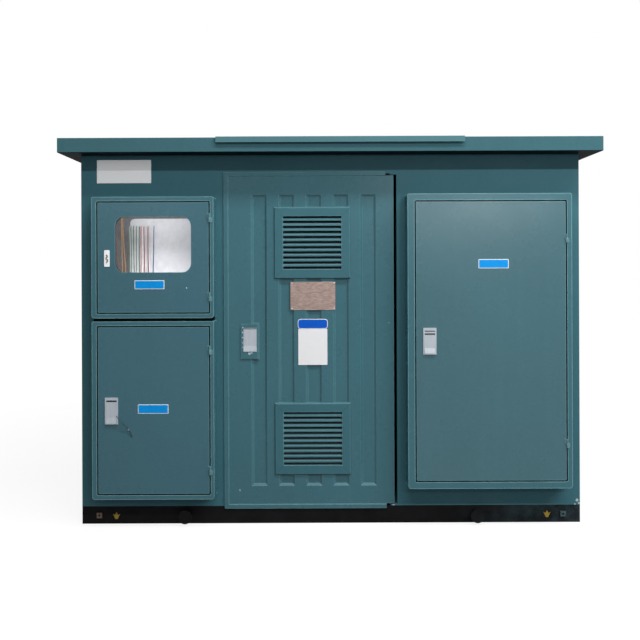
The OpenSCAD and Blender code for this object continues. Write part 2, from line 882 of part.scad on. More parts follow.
// A lock by its middle: a bezel with a finger pocket, a flap under it, and a body behind
module flush_lock(x, z, y_face, pocket_h, ledge_h) {
    fit = 0.3;
    pocket_z1 = z + lock_h / 2 - pocket_drop;
    pocket_z0 = pocket_z1 - pocket_h;
    flap_margin = 4;
    color(steel) {
        difference() {
            union() {
                upright(y_face - bezel_t, y_face)
                    translate([x - lock_w / 2, z - lock_h / 2])
                        round_rect(lock_w, lock_h, 4);
                span(x - lock_w / 2 + lock_lap + fit, x + lock_w / 2 - lock_lap - fit,
                    y_face - over, y_face + lock_body_depth, z - lock_h / 2 + lock_lap + fit,
                    z + lock_h / 2 - lock_lap - fit);
            }
            span(x - flap_w / 2, x + flap_w / 2, y_face - bezel_t - over,
                y_face + pocket_depth, pocket_z0, pocket_z1);
        }
        paddle_flap(x, flap_w, z - lock_h / 2 + flap_margin, pocket_z0, y_face - bezel_t);
        if (ledge_h > 0)
            span(x - flap_w / 2 - over, x + flap_w / 2 + over, y_face - bezel_t + 1,
                y_face + pocket_depth + over, pocket_z0 + 11, pocket_z0 + 11 + ledge_h);
    }
}

module meter_door_leaf() {
    cabinet_leaf(meter_leaf, hinge_inset) {
        upright(cabinet_y - over, leaf_back_y + over)
            translate([window_x, window_z])
                round_rect(window_w, window_h, window_r);
        upright(glass_y, leaf_back_y + over)
            translate([window_x - glass_lap, window_z - glass_lap])
                round_rect(window_w + 2 * glass_lap, window_h + 2 * glass_lap,
                    window_r + glass_lap);
        meter_lock_shape(0);
    }
}

module meter_door_glass() {
    lap = glass_lap - glass_fit;
    color([0.75, 0.85, 0.85, 0.4])
        upright(glass_y, glass_y + glass_t)
            translate([window_x - lap, window_z - lap])
                round_rect(window_w + 2 * lap, window_h + 2 * lap, window_r + lap);
}

module meter_door_gasket() {
    lap = glass_lap - glass_fit;
    color([0.08, 0.08, 0.08])
        upright(glass_y + glass_t, leaf_back_y)
            difference() {
                translate([window_x - lap, window_z - lap])
                    round_rect(window_w + 2 * lap, window_h + 2 * lap, window_r + lap);
                translate([window_x, window_z])
                    round_rect(window_w, window_h, window_r);
            }
}

// The meter leaf's small cam lock: its barrel passes through the leaf
module meter_lock_shape(shrink) {
    x = meter_leaf[0] + meter_lock_x;
    z = meter_leaf[1] + meter_lock_z;
    translate([x, cabinet_y - over, z])
        rotate([-90, 0, 0])
            cylinder(h = leaf_t + 10 + over, r = 10 - shrink);
}

module meter_door_lock() {
    plate_w = 33;
    plate_h = 101;
    color(board_white) {
        upright(cabinet_y - 3, cabinet_y)
            translate([meter_leaf[0] + meter_lock_x - plate_w / 2,
                meter_leaf[1] + meter_lock_z - plate_h / 2])
                round_rect(plate_w, plate_h, 5);
        meter_lock_shape(0.3);
    }
}

module communication_door_leaf() {
    cabinet_leaf(communication_leaf, hinge_inset + 47)
        lock_cutout(communication_leaf[0] + lock_inset + lock_w / 2,
            communication_leaf[1] + communication_lock_z);
}

module communication_door_lock() {
    flush_lock(communication_leaf[0] + lock_inset + lock_w / 2,
        communication_leaf[1] + communication_lock_z, cabinet_y, communication_pocket_h, 0);
}

module automation_door_leaf() {
    cabinet_leaf(automation_leaf, tall_hinge_inset)
        lock_cutout(automation_leaf[0] + lock_inset + lock_w / 2,
            automation_leaf[1] + automation_lock_z);
}

module automation_door_lock() {
    flush_lock(automation_leaf[0] + lock_inset + lock_w / 2,
        automation_leaf[1] + automation_lock_z, cabinet_y, automation_pocket_h, 9);
}

// Tray of folded sheet behind the meter frame, open to the front
module meter_tray() {
    color(paint_dark)
        difference() {
            span(tray_x0, tray_x1, inner_y, tray_back_y, tray_z0, tray_z1);
            span(tray_x0 + tray_t, tray_x1 - tray_t, inner_y - over, tray_back_y - tray_t,
                tray_z0 + tray_t, tray_z1 - tray_t);
        }
}

module meter_board() {
    color(board_white) {
        upright(board_y, board_y + board_t)
            translate([board_x, board_z])
                round_rect(board_w, board_h, board_r);
        for (x = [board_x + 50, board_x + board_w - 50],
             z = [board_z + 50, board_z + board_h - 50])
            translate([x, board_y + board_t - over, z])
                rotate([-90, 0, 0])
                    cylinder(h = board_standoff + over, d = 12);
    }
}

// Wires that come through the board near its top and run down to the tray's floor
module meter_wires() {
    floor_z = tray_z0 + tray_t;
    color("white") {
        for (dx = wire_xs) {
            x = board_x + dx;
            translate([x, wire_y, floor_z])
                cylinder(h = wire_top_z - floor_z, d = wire_d);
            translate([x, wire_y, wire_top_z])
                sphere(d = wire_d);
            translate([x, wire_y, wire_top_z])
                rotate([-90, 0, 0])
                    cylinder(h = board_y - wire_y, d = wire_d);
        }
        for (dx = loose_wire_xs)
            translate([board_x + dx, wire_y, floor_z])
                cylinder(h = tray_z1 - tray_t - floor_z, d = wire_d);
    }
}

// The angle along the transformer doorway's hinge side, with a bracket and a pivot pin at
// each end
module transformer_door_jamb() {
    bracket_x = pivot_x - 14;
    bracket_y0 = front_y - 2;
    color(paint) {
        span(right_mullion_x - jamb_t, right_mullion_x + jamb_w, front_y - jamb_t, front_y,
            base_h, doorway_top);
        span(right_mullion_x - jamb_t, right_mullion_x, front_y - over, front_y + jamb_depth,
            base_h, doorway_top);
        for (z = [base_h, doorway_top - bracket_h])
            span(bracket_x, right_mullion_x - jamb_t + over, bracket_y0, pivot_y + 14,
                z, z + bracket_h);
        translate([pivot_x, pivot_y, notch_top_z - pivot_depth + 2])
            cylinder(h = pivot_depth + leaf_clear - 2 + over, d = pivot_d);
        translate([pivot_x, pivot_y, base_h + bracket_h - over])
            cylinder(h = pivot_depth + leaf_clear - 2 + over, d = pivot_d);
    }
}

// The raised border along the leaf's lock side, top and bottom, with a sloped inner edge;
// its outer part is the lip that laps over the wall
module door_border() {
    inner_x = door_x0 + border_lock_w;
    difference() {
        union() {
            span(door_x0, door_x1 - notch_w, border_y, lip_back_y, door_z0, door_z1);
            span(door_body_x0, door_x1 - notch_w, border_y, panel_y + over, door_body_z0,
                door_body_z1);
        }
        bevelled_block(inner_x - border_slope - over, door_x1 + 10,
            door_z0 + border_v_w - border_slope - over,
            door_z1 - border_v_w + border_slope + over,
            border_y - over, panel_y + over, border_slope + over);
    }
}

module transformer_door_leaf() {
    pad_margin = 6;
    color(paint)
        difference() {
            union() {
                span(door_body_x0, door_x1, panel_y, door_back_y, door_body_z0, door_body_z1);
                door_border();
                upright(panel_y - surround_t, panel_y)
                    translate([surround_x - surround_w / 2, surround_z - surround_h / 2])
                        round_rect(surround_w, surround_h, 3);
            }
            difference() {
                flutes(flute_x, flute_pitch, flute_count, door_z0 + flute_inset,
                    door_z1 - flute_inset, panel_y, flute_depth);
                for (z = [upper_louvre_z, lower_louvre_z])
                    span(louvre_x - louvre_w / 2, louvre_x + louvre_w / 2, panel_y - 2 * over,
                        door_back_y, z - louvre_h / 2, z + louvre_h / 2);
                span(surround_x - surround_w / 2 - pad_margin,
                    surround_x + surround_w / 2 + pad_margin, panel_y - 2 * over, door_back_y,
                    surround_z - surround_h / 2 - pad_margin,
                    surround_z + surround_h / 2 + pad_margin);
            }
            for (z = [upper_louvre_z, lower_louvre_z])
                span(louvre_x - louvre_open_w / 2, louvre_x + louvre_open_w / 2,
                    panel_y - over, door_back_y + over, z - louvre_open_h / 2,
                    z + louvre_open_h / 2);
            span(tall_lock_x0, tall_lock_x1, panel_y - surround_t - over, door_back_y + over,
                tall_lock_z0, tall_lock_z1);
            span(door_x1 - notch_w, door_x1 + over, panel_y - over, door_back_y + over,
                notch_top_z, door_z1 + over);
            span(door_x1 - notch_w, door_x1 + over, panel_y - over, door_back_y + over,
                door_z0 - over, notch_low_z);
            for (z = [notch_low_z - over, notch_top_z - pivot_depth])
                translate([pivot_x, pivot_y, z])
                    cylinder(h = pivot_depth + over, d = pivot_d + 2 * pin_clear);
        }
}

module transformer_upper_louvre() {
    louvre(louvre_x, upper_louvre_z, panel_y);
}

module transformer_lower_louvre() {
    louvre(louvre_x, lower_louvre_z, panel_y);
}

// The transformer door's lock: its body fills the surround's opening, with a flap over it
// and a flange that clamps it from behind
module transformer_door_lock() {
    fit = 0.3;
    flange_lap = 12;
    flange_t = 4;
    flap_side = 2;
    x0 = tall_lock_x0 + fit;
    x1 = tall_lock_x1 - fit;
    z0 = tall_lock_z0 + fit;
    z1 = tall_lock_z1 - fit;
    y_body = panel_y - surround_t + 3;
    color(steel) {
        difference() {
            span(x0, x1, y_body, door_back_y + over, z0, z1);
            span(x0 + flap_side, x1 - flap_side, y_body - over, y_body + pocket_depth,
                tall_lock_z0 + tall_flap_h, z1 - flap_side);
        }
        paddle_flap((x0 + x1) / 2, tall_flap_w - 2 * fit, z0, tall_lock_z0 + tall_flap_h,
            y_body);
        span(x0 - flange_lap, x1 + flange_lap, door_back_y, door_back_y + flange_t,
            z0 - flange_lap, z1 + flange_lap);
    }
}

base_front_channel();
base_rear_channel();
base_left_channel();
base_right_channel();
base_cross_members();
floor_plate();
lifting_trunnions();
earth_bosses();
front_left_post();
front_left_mullion();
front_right_mullion();
front_right_post();
front_left_header();
front_centre_header();
front_right_header();
front_left_rail();
front_left_sill();
front_right_sill();
left_end_wall();
right_end_wall();
rear_wall();
rear_panel();
rear_upper_louvre();
rear_lower_louvre();
roof_canopy();
roof_lid();
meter_frame();
communication_frame();
automation_frame();
transformer_door_jamb();
meter_tray();
meter_board();
meter_wires();
meter_door_leaf();
meter_door_glass();
meter_door_gasket();
meter_door_lock();
communication_door_leaf();
communication_door_lock();
transformer_door_leaf();
transformer_upper_louvre();
transformer_lower_louvre();
transformer_door_lock();
automation_door_leaf();
automation_door_lock();
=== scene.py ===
"""Looks of the compact transformer substation: paint, steel, glass, plates, wires and locks."""

import math
import random

import bmesh
import bpy
from mathutils import Matrix, Vector

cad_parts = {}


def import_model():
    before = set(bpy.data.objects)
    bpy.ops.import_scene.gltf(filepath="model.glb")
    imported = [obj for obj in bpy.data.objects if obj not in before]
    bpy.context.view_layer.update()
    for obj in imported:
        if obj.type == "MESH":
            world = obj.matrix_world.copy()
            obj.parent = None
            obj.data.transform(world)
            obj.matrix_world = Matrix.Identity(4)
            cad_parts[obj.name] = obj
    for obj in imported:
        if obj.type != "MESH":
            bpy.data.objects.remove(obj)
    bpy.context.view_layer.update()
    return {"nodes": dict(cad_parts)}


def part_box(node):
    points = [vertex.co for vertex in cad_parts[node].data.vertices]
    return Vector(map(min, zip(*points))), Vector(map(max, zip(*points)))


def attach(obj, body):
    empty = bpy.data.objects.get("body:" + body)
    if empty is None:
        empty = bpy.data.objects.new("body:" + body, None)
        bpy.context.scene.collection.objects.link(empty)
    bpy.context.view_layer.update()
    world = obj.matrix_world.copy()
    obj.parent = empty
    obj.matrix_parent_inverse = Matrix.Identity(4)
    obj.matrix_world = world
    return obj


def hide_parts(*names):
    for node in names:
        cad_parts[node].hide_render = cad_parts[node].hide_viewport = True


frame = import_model()
NODES = frame["nodes"]

ENCLOSURE = "enclosure"
METER = "meter_door"
COMMUNICATION = "communication_door"
TRANSFORMER = "transformer_door"
AUTOMATION = "automation_door"


def srgb(red, green, blue):
    """Linear colour of an 8-bit sRGB colour."""
    def channel(value):
        value /= 255
        return value / 12.92 if value <= 0.04045 else ((value + 0.055) / 1.055) ** 2.4
    return (channel(red), channel(green), channel(blue), 1.0)


TEAL = srgb(56, 99, 109)
TEAL_LIGHT = srgb(78, 118, 126)
# Paler teal laid on sharp edges as a painted highlight
EDGE_HIGHLIGHT = srgb(136, 178, 181)
BASE_BLACK = srgb(11, 11, 12)
CHIP = srgb(176, 188, 190)


def shade(colour, factor):
    """The colour made lighter or darker by a factor."""
    return [min(channel * factor, 1) for channel in colour[:3]] + [1]


class Shader:
    """A material's node tree, with one short call for each kind of node."""

    def __init__(self, name):
        self.material = bpy.data.materials.new(name)
        self.material.use_nodes = True
        self.tree = self.material.node_tree
        self.bsdf = self.tree.nodes["Principled BSDF"]
        self.coords = self.tree.nodes.new("ShaderNodeTexCoord").outputs["Object"]

    def link(self, source, socket):
        self.tree.links.new(source, socket)

    def feed(self, socket, value):
        """Links value to the socket where it is an output, and sets it where it is a number."""
        if isinstance(value, bpy.types.NodeSocket):
            self.link(value, socket)
        else:
            socket.default_value = value

    def noise(self, scale, detail=3.0, roughness=0.55, coords=None, stretch=None):
        coords = coords or self.coords
        if stretch:
            mapping = self.tree.nodes.new("ShaderNodeMapping")
            mapping.inputs["Scale"].default_value = stretch
            self.link(coords, mapping.inputs["Vector"])
            coords = mapping.outputs["Vector"]
        node = self.tree.nodes.new("ShaderNodeTexNoise")
        node.inputs["Scale"].default_value = scale
        node.inputs["Detail"].default_value = detail
        node.inputs["Roughness"].default_value = roughness
        self.link(coords, node.inputs["Vector"])
        return node.outputs["Fac"]

    def math(self, operation, first, second=0.0, clamp=False):
        node = self.tree.nodes.new("ShaderNodeMath")
        node.operation = operation
        node.use_clamp = clamp
        self.feed(node.inputs[0], first)
        self.feed(node.inputs[1], second)
        return node.outputs[0]

    def ramp(self, value, low, high, to_low=0.0, to_high=1.0):
        node = self.tree.nodes.new("ShaderNodeMapRange")
        node.clamp = True
        self.feed(node.inputs["Value"], value)
        node.inputs["From Min"].default_value = low
        node.inputs["From Max"].default_value = high
        node.inputs["To Min"].default_value = to_low
        node.inputs["To Max"].default_value = to_high
        return node.outputs["Result"]

    def mix(self, factor, first, second):
        node = self.tree.nodes.new("ShaderNodeMix")
        node.data_type = "RGBA"
        self.feed(node.inputs[0], factor)
        self.feed(node.inputs[6], first)
        self.feed(node.inputs[7], second)
        return node.outputs[2]

    def axis(self, index):
        node = self.tree.nodes.new("ShaderNodeSeparateXYZ")
        self.link(self.coords, node.inputs[0])
        return node.outputs[index]

    def near(self, point, radius, fade):
        """1 within radius of a point of the row frame, falling to 0 over fade."""
        node = self.tree.nodes.new("ShaderNodeVectorMath")
        node.operation = "DISTANCE"
        self.link(self.coords, node.inputs[0])
        node.inputs[1].default_value = point
        return self.ramp(node.outputs["Value"], radius, radius + fade, 1.0, 0.0)

    def edge(self, radius):
        """1 on a sharp edge, falling to 0 at about radius from it."""
        rounded = self.tree.nodes.new("ShaderNodeBevel")
        rounded.samples = 4
        rounded.inputs["Radius"].default_value = radius
        geometry = self.tree.nodes.new("ShaderNodeNewGeometry")
        node = self.tree.nodes.new("ShaderNodeVectorMath")
        node.operation = "DOT_PRODUCT"
        self.link(rounded.outputs[0], node.inputs[0])
        self.link(geometry.outputs["Normal"], node.inputs[1])
        return self.ramp(node.outputs["Value"], 0.88, 0.99, 1.0, 0.0)

    def bump(self, height, strength, distance, normal=None):
        node = self.tree.nodes.new("ShaderNodeBump")
        node.inputs["Strength"].default_value = strength
        node.inputs["Distance"].default_value = distance
        self.feed(node.inputs["Height"], height)
        if normal is not None:
            self.link(normal, node.inputs["Normal"])
        return node.outputs["Normal"]

    def set(self, **values):
        names = {
            "color": "Base Color", "metallic": "Metallic", "roughness": "Roughness",
            "normal": "Normal", "specular": "Specular IOR Level", "ior": "IOR",
        }
        for key, value in values.items():
            self.feed(self.bsdf.inputs[names[key]], value)
        return self.material


def paint_material(name, colour, chips=(), gloss=0.22, rough=(0.25, 0.30), waves=0.2,
                   edge_highlight=None, dark=None):
    """Satin powder coat: mottling, orange peel, wavy sheet, dust and chips, with paler edges as a
    painted highlight and an optional darkening along one axis as painted shade.
    """
    s = Shader(name)
    mottle = s.noise(1.6, 4.0, 0.6)
    fine = s.noise(38.0, 3.0, 0.6)
    tone = s.mix(s.ramp(mottle, 0.3, 0.7), shade(colour, 0.95), shade(colour, 1.05))
    tone = s.mix(s.ramp(fine, 0.35, 0.65, 0.0, 0.08), tone, TEAL_LIGHT)
    # Rain streaks that run down the sheet, and dust and splashes low down
    streaks = s.noise(14.0, 4.0, 0.6, stretch=(1.0, 1.0, 0.06))
    tone = s.mix(s.ramp(streaks, 0.5, 0.8, 0.0, 0.10), tone, TEAL_LIGHT)
    height = s.axis(2)
    splash = s.math("MULTIPLY", s.ramp(height, 0.10, 0.45, 1.0, 0.0), s.noise(9.0, 6.0, 0.7))
    tone = s.mix(s.ramp(splash, 0.4, 0.8, 0.0, 0.12), tone, srgb(104, 116, 114))
    # Sharp edges painted paler in patches: a painted highlight
    if edge_highlight:
        highlight_radius, highlight_strength = edge_highlight
        patchy = s.ramp(s.noise(12.0), 0.3, 0.6, 0.6 * highlight_strength, highlight_strength)
        tone = s.mix(s.math("MULTIPLY", s.edge(highlight_radius), patchy), tone, EDGE_HIGHLIGHT)
    for point, radius in chips:
        ragged = s.noise(260.0, 4.0, 0.7)
        mask = s.math("MULTIPLY", s.near(point, radius * 0.4, radius), ragged)
        tone = s.mix(s.ramp(mask, 0.36, 0.42), tone, CHIP)
    # Darker towards one end of the given axis: painted shade
    if dark:
        axis, start, end = dark
        tone = s.mix(s.ramp(s.axis(axis), start, end, 0.0, 0.9), tone, BASE_BLACK)
    peel = s.noise(520.0, 2.0, 0.5)
    sheet = s.noise(2.4, 2.0, 0.4)
    normal = s.bump(peel, 0.10, 0.0006)
    if waves:
        normal = s.bump(sheet, waves, 0.010, normal)
    roughness = s.ramp(s.noise(5.0, 5.0, 0.65), 0.3, 0.7, *rough)
    return s.set(color=tone, roughness=roughness, normal=normal, specular=gloss)


def channel_material():
    """Black brushed-on paint over rolled steel, with teal overspray at the right-hand end."""
    s = Shader("channel_black")
    tone = s.mix(s.ramp(s.noise(6.0, 5.0, 0.6), 0.3, 0.7), BASE_BLACK, srgb(22, 22, 24))
    rise = s.ramp(s.axis(0), 0.75, 1.5)
    mist = s.math("MULTIPLY", rise, s.ramp(s.noise(7.0, 5.0, 0.7), 0.35, 0.7))
    tone = s.mix(s.math("MULTIPLY", mist, 0.5), tone, srgb(70, 92, 98))
    scuff = s.ramp(s.noise(60.0, 6.0, 0.75), 0.66, 0.72, 0.0, 0.6)
    tone = s.mix(scuff, tone, srgb(86, 84, 82))
    normal = s.bump(s.noise(140.0, 4.0, 0.6), 0.25, 0.001)
    return s.set(color=tone, roughness=s.ramp(s.noise(20.0), 0.3, 0.7, 0.55, 0.75),
                 normal=normal, specular=0.06)


def brushed_material(name, colour, stretch, roughness, metallic, depth):
    """Brushed metal with its grain along one axis; depth is how dark the grain is."""
    s = Shader(name)
    grain = s.noise(60.0, 4.0, 0.6, stretch=stretch)
    tone = s.mix(s.ramp(grain, 0.3, 0.7), shade(colour, 1 - depth), colour)
    normal = s.bump(grain, 0.15, 0.0003)
    return s.set(color=tone, metallic=metallic, normal=normal,
                 roughness=s.ramp(grain, 0.2, 0.8, roughness - 0.06, roughness + 0.08))


def plain_material(name, colour, roughness=0.45, variation=0.06, metallic=0.0, bump=0.05,
                   gloss=0.4):
    """Plastic, rubber or enamel with slight mottling and a fine surface."""
    s = Shader(name)
    tone = s.mix(s.ramp(s.noise(25.0, 4.0, 0.6), 0.3, 0.7), shade(colour, 1 - variation),
                 shade(colour, 1 + variation))
    normal = s.bump(s.noise(700.0, 2.0, 0.5), bump, 0.0003)
    rough = s.ramp(s.noise(40.0), 0.3, 0.7, roughness - 0.05, roughness + 0.05)
    return s.set(color=tone, roughness=rough, normal=normal, metallic=metallic, specular=gloss)


def earth_material():
    """Dull copper of the earth bosses; the right-hand one is oversprayed with teal."""
    s = Shader("earth_copper")
    copper, sprayed = srgb(96, 74, 64), srgb(58, 84, 88)
    tone = s.mix(s.ramp(s.axis(0), 1.2, 1.3), copper, sprayed)
    tone = s.mix(s.ramp(s.noise(90.0, 4.0, 0.6), 0.4, 0.65, 0.0, 0.7), tone, BASE_BLACK)
    normal = s.bump(s.noise(300.0), 0.3, 0.0005)
    rough = s.ramp(s.noise(60.0), 0.3, 0.7, 0.45, 0.6)
    return s.set(color=tone, roughness=rough, normal=normal, metallic=0.3)


def glass_material():
    """Clear pane that mostly lets light through, with a faint film of dust."""
    s = Shader("window_glass")
    film = s.ramp(s.noise(14.0, 5.0, 0.7), 0.45, 0.8, 0.02, 0.10)
    material = s.set(color=(0.95, 0.95, 0.96, 1), roughness=0.05, ior=1.45)
    tree = s.tree
    clear = tree.nodes.new("ShaderNodeBsdfTransparent")
    clear.inputs["Color"].default_value = (0.96, 0.965, 0.97, 1)
    gloss = tree.nodes.new("ShaderNodeBsdfGlossy")
    gloss.inputs["Roughness"].default_value = 0.04
    fresnel = tree.nodes.new("ShaderNodeFresnel")
    fresnel.inputs["IOR"].default_value = 1.3
    surface = tree.nodes.new("ShaderNodeMixShader")
    s.link(fresnel.outputs[0], surface.inputs[0])
    s.link(clear.outputs[0], surface.inputs[1])
    s.link(gloss.outputs[0], surface.inputs[2])
    dusty = tree.nodes.new("ShaderNodeMixShader")
    s.link(film, dusty.inputs[0])
    s.link(surface.outputs[0], dusty.inputs[1])
    s.link(s.bsdf.outputs[0], dusty.inputs[2])
    output = tree.nodes["Material Output"]
    s.link(dusty.outputs[0], output.inputs["Surface"])
    return material


WALL_CHIPS = [
    (Vector((1.534, -1.05, 0.137)), 0.014), (Vector((1.545, -1.05, 0.118)), 0.010),
    (Vector((1.520, -1.05, 0.112)), 0.008), (Vector((0.389, -1.05, 0.112)), 0.010),
]
DOOR_CHIPS = [
    (Vector((-0.568, -1.053, 0.208)), 0.007), (Vector((0.365, -1.053, 1.248)), 0.004),
    (Vector((-0.546, -1.060, 1.222)), 0.007), (Vector((-0.547, -1.060, 1.192)), 0.008),
    (Vector((-0.546, -1.060, 1.160)), 0.007), (Vector((-0.547, -1.060, 1.128)), 0.008),
    (Vector((-0.546, -1.060, 1.098)), 0.006), (Vector((-0.505, -1.060, 1.060)), 0.012),
    (Vector((-0.492, -1.060, 1.064)), 0.010),
]
PAINT = paint_material("enclosure_paint", TEAL, WALL_CHIPS, 0.12, (0.45, 0.55))
# These paints get paler edges, a painted highlight
DOOR_PAINT = paint_material("door_paint", TEAL, DOOR_CHIPS, edge_highlight=(0.005, 0.5))
FRAME_PAINT = paint_material("frame_paint", TEAL, (), edge_highlight=(0.009, 0.9))
LEAF_PAINT = paint_material("cabinet_paint", srgb(59, 99, 111), (), edge_highlight=(0.008, 0.45))
# The automation door is glossier, so its own colour is a little darker
GLOSS_PAINT = paint_material("automation_paint", shade(TEAL, 0.88), (), 0.45, edge_highlight=(0.008, 0.4))
# Behind their upright lips the louvre blades are painted dark: painted shade in the slots
LOUVRE_PAINT = paint_material("louvre_paint", TEAL, (), 0.15, (0.40, 0.50), 0.0, (0.005, 0.5),
                              (1, -1.0565, -1.0525))
# The roof's underside is painted dark: painted shade under the eave
ROOF_PAINT = paint_material("roof_paint", srgb(62, 99, 107), (), 0.004, (0.45, 0.55),
                            edge_highlight=(0.006, 0.3), dark=(2, 2.301, 2.298))
# The lid's paint is lighter than the fascia's, a painted highlight for the light it catches
LID_PAINT = paint_material("lid_paint", srgb(74, 114, 121), [
    (Vector((0.665, -1.195, 2.405)), 0.007), (Vector((-0.20, -1.195, 2.405)), 0.006),
], 0.12, (0.45, 0.55), edge_highlight=(0.006, 0.3))
CHANNEL = channel_material()
LOCK_STEEL = brushed_material("lock_steel", srgb(170, 177, 185), (1, 1, 0.1), 0.42, 0.5, 0.12)
PLATE_METAL = brushed_material("rating_metal", srgb(164, 144, 136), (0.6, 1, 2.4), 0.45, 0.8, 0.45)
EARTH_METAL = earth_material()
BLUE = plain_material("label_blue", srgb(4, 142, 220), 0.35, gloss=0.15)
SIGN_BLUE = plain_material("sign_blue", srgb(10, 86, 190), 0.35, gloss=0.15)
WHITE = plain_material("label_white", srgb(228, 228, 230), 0.4, 0.02)
KEY_WHITE = plain_material("key_plate_white", srgb(248, 248, 249), 0.4, 0.02)
PLATE_WHITE = brushed_material("plate_white", srgb(198, 200, 202), (1, 1, 1), 0.5, 0.6, 0.03)
YELLOW = plain_material("earth_yellow", srgb(140, 118, 34), 0.5, 0.25)
# Black of the rubber gasket and seals, also used for strips of painted shade
RUBBER_AND_SHADE_BLACK = plain_material("gasket_rubber", srgb(7, 10, 12), 0.8, 0.1, 0.0, 0.3, 0.03)
BOARD = plain_material("board_plastic", srgb(226, 225, 229), 0.5, 0.02)
# Near black, for the meter key and as painted shade in the communication lock's pocket
DARK = plain_material("dark_recess", srgb(14, 16, 17), 0.6)
LINING = plain_material("lock_opening_shade", srgb(84, 88, 92), 0.6)
SEAM = plain_material("mitre_seam", shade(TEAL, 0.3), 0.6)
TIE = plain_material("tie_plastic", srgb(22, 22, 24), 0.4)
TIE_HEAD = plain_material("tie_head", srgb(150, 160, 162), 0.4)
GALVANISED = plain_material("tray_galvanised", srgb(118, 120, 126), 0.5, 0.12, 0.0, 0.1)


def assign(obj, material):
    """Gives the object this one material."""
    obj.data.materials.clear()
    obj.data.materials.append(material)


def soften(obj, width, segments=3):
    """Rounds a CAD piece's sharp edges without changing its mesh."""
    weld = obj.modifiers.new("weld", "WELD")
    weld.merge_threshold = 0.00002
    bevel = obj.modifiers.new("bevel", "BEVEL")
    bevel.width = width
    bevel.segments = segments
    bevel.limit_method = "ANGLE"
    bevel.angle_limit = math.radians(35)
    bevel.harden_normals = True
    bevel.use_clamp_overlap = True


NODE_LOOKS = {
    "base_": (CHANNEL, 0.002),
    "lifting_trunnions": (CHANNEL, 0.002),
    "floor_plate": (PAINT, 0.0),
    "earth_bosses": (EARTH_METAL, 0.001),
    "front_": (PAINT, 0.0),
    "left_end_wall": (PAINT, 0.002),
    "right_end_wall": (PAINT, 0.002),
    "rear_wall": (PAINT, 0.0),
    "rear_panel": (PAINT, 0.0015),
    "rear_upper_louvre": (PAINT, 0.0008),
    "rear_lower_louvre": (PAINT, 0.0008),
    "roof_canopy": (ROOF_PAINT, 0.003),
    "roof_lid": (LID_PAINT, 0.001),
    "meter_frame": (FRAME_PAINT, 0.002),
    "communication_frame": (FRAME_PAINT, 0.002),
    "automation_frame": (FRAME_PAINT, 0.002),
    "transformer_door_jamb": (PAINT, 0.001),
    "meter_tray": (GALVANISED, 0.001),
    "meter_board": (BOARD, 0.0015),
    "meter_door_leaf": (LEAF_PAINT, 0.0012),
    "communication_door_leaf": (LEAF_PAINT, 0.0012),
    "automation_door_leaf": (GLOSS_PAINT, 0.0015),
    "transformer_door_leaf": (DOOR_PAINT, 0.0012),
    "transformer_upper_louvre": (LOUVRE_PAINT, 0.0008),
    "transformer_lower_louvre": (LOUVRE_PAINT, 0.0008),
    "meter_door_gasket": (RUBBER_AND_SHADE_BLACK, 0.001),
    "meter_door_glass": (glass_material(), 0.0),
    "meter_door_lock": (KEY_WHITE, 0.001),
    "communication_door_lock": (LOCK_STEEL, 0.0008),
    "automation_door_lock": (LOCK_STEEL, 0.0008),
    "transformer_door_lock": (LOCK_STEEL, 0.0008),
    "meter_wires": (WHITE, 0.0),
}


def dress_nodes():
    """Gives each CAD node its material and rounded edges; a key ending in _ is a prefix."""
    for name, obj in NODES.items():
        key = next(key for key in NODE_LOOKS
                   if name == key or key.endswith("_") and name.startswith(key))
        material, width = NODE_LOOKS[key]
        assign(obj, material)
        if width:
            soften(obj, width)


def new_object(name, bm, material, body):
    """A mesh object with the material that rides on the body."""
    mesh = bpy.data.meshes.new(name)
    bm.to_mesh(mesh)
    bm.free()
    obj = bpy.data.objects.new(name, mesh)
    bpy.context.scene.collection.objects.link(obj)
    mesh.materials.append(material)
    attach(obj, body)
    return obj


def rounded_outline(x0, x1, z0, z1, radius, steps=6):
    """Corners of a rounded rectangle in the X-Z plane, anticlockwise from the lower right."""
    points = []
    corners = ((x1 - radius, z0 + radius, -90), (x1 - radius, z1 - radius, 0),
               (x0 + radius, z1 - radius, 90), (x0 + radius, z0 + radius, 180))
    for cx, cz, start in corners:
        for step in range(steps + 1):
            turn = math.radians(start + 90 * step / steps)
            points.append((cx + radius * math.cos(turn), cz + radius * math.sin(turn)))
    return points


def plate(name, body, x0, x1, z0, z1, y, thickness, radius, material, edge=0.0004):
    """A thin plate with rounded corners and a softened rim; its face is at y - thickness."""
    bm = bmesh.new()
    outline = rounded_outline(x0, x1, z0, z1, radius)
    inset = rounded_outline(x0 + edge, x1 - edge, z0 + edge, z1 - edge, max(radius - edge, 0.0002))
    rings = [[bm.verts.new((px, y, pz)) for px, pz in outline],
             [bm.verts.new((px, y - thickness + edge, pz)) for px, pz in outline],
             [bm.verts.new((px, y - thickness, pz)) for px, pz in inset]]
    count = len(outline)
    for ring, above in zip(rings, rings[1:]):
        for i in range(count):
            j = (i + 1) % count
            bm.faces.new((ring[i], ring[j], above[j], above[i]))
    bm.faces.new(rings[-1])
    bm.faces.new(list(reversed(rings[0])))
    bmesh.ops.recalc_face_normals(bm, faces=bm.faces)
    return new_object(name, bm, material, body)


WALL_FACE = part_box("front_left_post")[0].y
CABINET_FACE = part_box("automation_frame")[1].y - 0.160
PANEL_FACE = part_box("transformer_door_leaf")[1].y - 0.018


def door_label(name, body, x0, x1, z0, z1):
    """Blue label with a white border, left bare."""
    border = 0.004
    plate(name + "_border", body, x0, x1, z0, z1, CABINET_FACE, 0.0012, 0.004, WHITE)
    plate(name + "_face", body, x0 + border, x1 - border, z0 + border, z1 - border,
          CABINET_FACE - 0.0012, 0.0005, 0.002, BLUE, 0.0002)


